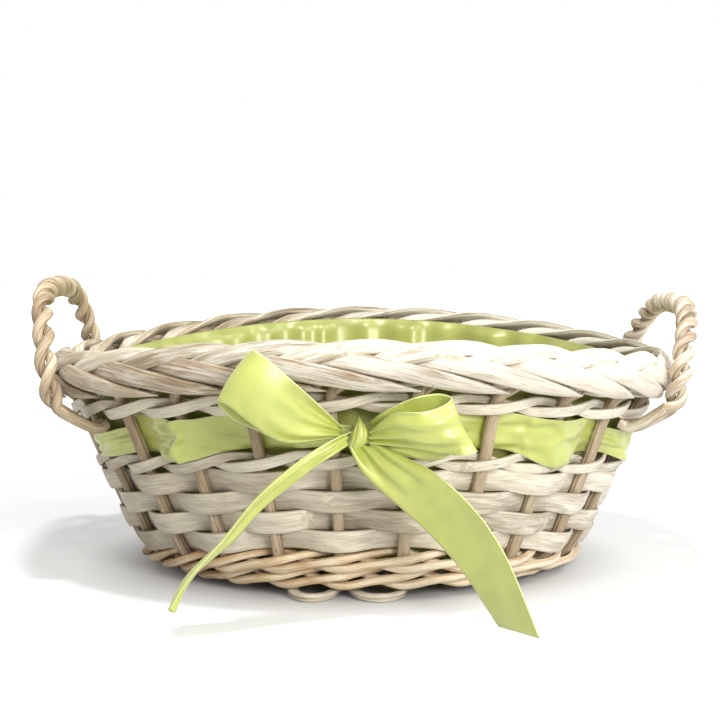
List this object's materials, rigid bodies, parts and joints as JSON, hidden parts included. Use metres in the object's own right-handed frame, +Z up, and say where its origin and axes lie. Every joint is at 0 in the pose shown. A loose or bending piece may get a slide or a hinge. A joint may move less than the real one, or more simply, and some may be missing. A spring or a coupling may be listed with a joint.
{
  "type": "woven basket",
  "caption": "Round willow gift basket with a flared woven wall, plaited border, twisted side handles, satin lining and a satin ribbon tied in a bow.",
  "frame": {"origin": "middle of the base, on the surface that the basket stands on", "axes": "+Z up, the bow faces -Y, and the handles stand at +X and -X"},
  "size_m": [0.3267, 0.3468, 0.1448],
  "materials": {
    "grey_strip": "matt whitewashed grey",
    "honey_rod": "matt peeled willow",
    "handle_rod": "matt peeled willow",
    "pale_border": "matt whitewashed",
    "stake_rod": "matt whitewashed",
    "base_stick": "matt",
    "lining_satin": "satin",
    "ribbon_satin": "satin"
  },
  "bodies": {
    "root": {"flat_weaver_1": "grey_strip", "flat_weaver_2": "grey_strip", "flat_weaver_3": "grey_strip", "flat_weaver_4": "grey_strip", "upper_twine_1": "grey_strip", "upper_twine_2": "grey_strip", "under_border_twine_1": "grey_strip", "under_border_twine_2": "grey_strip", "base_weaver": "grey_strip", "foot_strand": "grey_strip", "wale_rod_1": "honey_rod", "wale_rod_2": "honey_rod", "wale_rod_3": "honey_rod", "wale_rod_4": "honey_rod", "wale_rod_5": "honey_rod", "wale_rod_6": "honey_rod", "handle_left_rod_1": "handle_rod", "handle_left_rod_2": "handle_rod", "handle_right_rod_1": "handle_rod", "handle_right_rod_2": "handle_rod", "border_strand_1": "pale_border", "border_strand_2": "pale_border", "border_strand_3": "pale_border", "border_strand_4": "pale_border", "stake_01": "stake_rod", "stake_02": "stake_rod", "stake_03": "stake_rod", "stake_04": "stake_rod", "stake_05": "stake_rod", "stake_06": "stake_rod", "stake_07": "stake_rod", "stake_08": "stake_rod", "stake_09": "stake_rod", "stake_10": "stake_rod", "stake_11": "stake_rod", "stake_12": "stake_rod", "stake_13": "stake_rod", "stake_14": "stake_rod", "stake_15": "stake_rod", "stake_16": "stake_rod", "stake_17": "stake_rod", "stake_18": "stake_rod", "stake_19": "stake_rod", "stake_20": "stake_rod", "stake_21": "stake_rod", "stake_22": "stake_rod", "stake_23": "stake_rod", "stake_24": "stake_rod", "base_stick_lower_first": "base_stick", "base_stick_lower_second": "base_stick", "base_stick_lower_third": "base_stick", "base_stick_upper_first": "base_stick", "base_stick_upper_second": "base_stick", "lining": "lining_satin", "ribbon_band": "ribbon_satin", "bow_knot": "ribbon_satin", "bow_loop_left": "ribbon_satin", "bow_loop_right": "ribbon_satin", "bow_tail_left": "ribbon_satin", "bow_tail_right": "ribbon_satin"}
  },
  "joints": []
}
